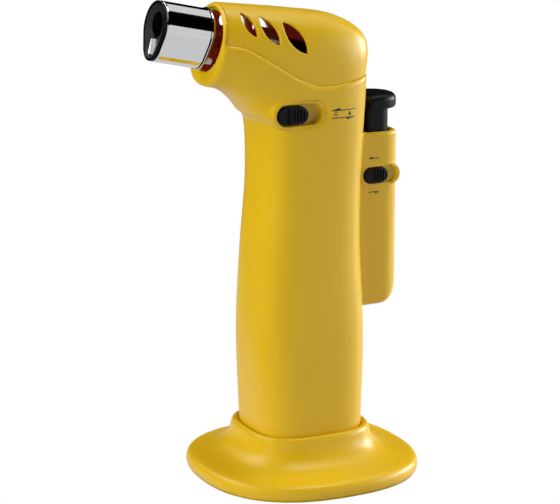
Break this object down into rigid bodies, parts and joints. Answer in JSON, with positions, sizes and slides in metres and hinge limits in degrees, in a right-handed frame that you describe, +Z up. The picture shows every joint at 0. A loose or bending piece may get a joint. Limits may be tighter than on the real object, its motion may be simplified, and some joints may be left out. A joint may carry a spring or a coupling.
{
  "type": "propane torch",
  "caption": "Hand-held gas torch with a yellow moulded handle, vented angled head, chromed flame tube, rear ignition plunger, slide locks and a push-in table stand.",
  "frame": {"origin": "middle of the stand's underside", "axes": "+Z up along the handle, flame tube towards -X, ignition plunger at +X, flame lock on the -Y side"},
  "size_m": [0.1104, 0.088, 0.1925],
  "materials": {
    "yellow_plastic": "satin moulded plastic",
    "black_plastic": "satin moulded plastic",
    "heat_liner": "dark red heat-resistant coating",
    "chrome": "polished",
    "steel": "plain",
    "brass": "machined",
    "ceramic": null,
    "tank_plastic": "translucent white moulded plastic",
    "rubber": "matt"
  },
  "bodies": {
    "stand": {"stand": "yellow_plastic"},
    "torch": {"handle_shell_left": "yellow_plastic", "handle_shell_right": "yellow_plastic", "head_cover": "yellow_plastic", "heat_liner": "heat_liner", "flame_sleeve": "chrome", "mouth_insert": "black_plastic", "igniter_insulator": "ceramic", "spark_electrode": "steel", "burner_tube": "brass", "flame_holder": "steel", "mixing_chamber": "chrome", "sleeve_bracket": "brass", "jet_block": "black_plastic", "gas_jet": "brass", "gas_hose": "rubber", "gas_tank": "tank_plastic", "tank_seal": "rubber", "valve_body": "brass", "lever_bracket": "steel", "lever_pin": "steel", "fill_valve_body": "brass", "plunger_spring": "steel", "piezo_body": "black_plastic", "ignition_lead": "rubber", "shell_screw_housing_lower": "steel", "shell_screw_housing_upper": "steel", "shell_screw_neck_front": "steel", "shell_screw_neck_rear": "steel", "shell_screw_head_front": "steel"},
    "plunger": {"plunger": "black_plastic", "piezo_hammer": "ceramic"},
    "valve_lever": {"valve_lever": "steel"},
    "valve_stem": {"valve_stem": "steel"},
    "flame_lock": {"flame_lock_slider": "black_plastic"},
    "safety_lock": {"safety_slider": "black_plastic"},
    "fill_stem": {"fill_valve_stem": "brass"}
  },
  "joints": [
    {"name": "torch_lift", "type": "slide", "parent": "stand", "child": "torch", "axis": [0, 0, 1], "range_m": [0, 0.03]},
    {"name": "plunger_press", "type": "slide", "parent": "torch", "child": "plunger", "axis": [0, 0, -1], "range_m": [0, 0.007], "stiffness_N_per_m": 800, "deforming": ["plunger_spring"]},
    {"name": "lever_rock", "type": "hinge", "parent": "torch", "child": "valve_lever", "pos_m": [0.008, 0, 0.1224], "axis": [0, 1, 0], "range_deg": [0, 24.5]},
    {"name": "valve_lift", "type": "slide", "parent": "torch", "child": "valve_stem", "axis": [0, 0, 1], "range_m": [0, 0.0022]},
    {"name": "flame_lock_slide", "type": "slide", "parent": "torch", "child": "flame_lock", "axis": [1, 0, 0], "range_m": [0, 0.006]},
    {"name": "safety_slide", "type": "slide", "parent": "torch", "child": "safety_lock", "axis": [1, 0, 0], "range_m": [0, 0.0035]},
    {"name": "fill_valve_press", "type": "slide", "parent": "torch", "child": "fill_stem", "axis": [0, 0, 1], "range_m": [0, 0.0012], "stiffness_N_per_m": 1500}
  ],
  "couplings": [
    {"joint": "lever_rock", "follows": "plunger_press", "rad_per_m": 60},
    {"joint": "valve_lift", "follows": "plunger_press", "ratio": 0.29}
  ]
}
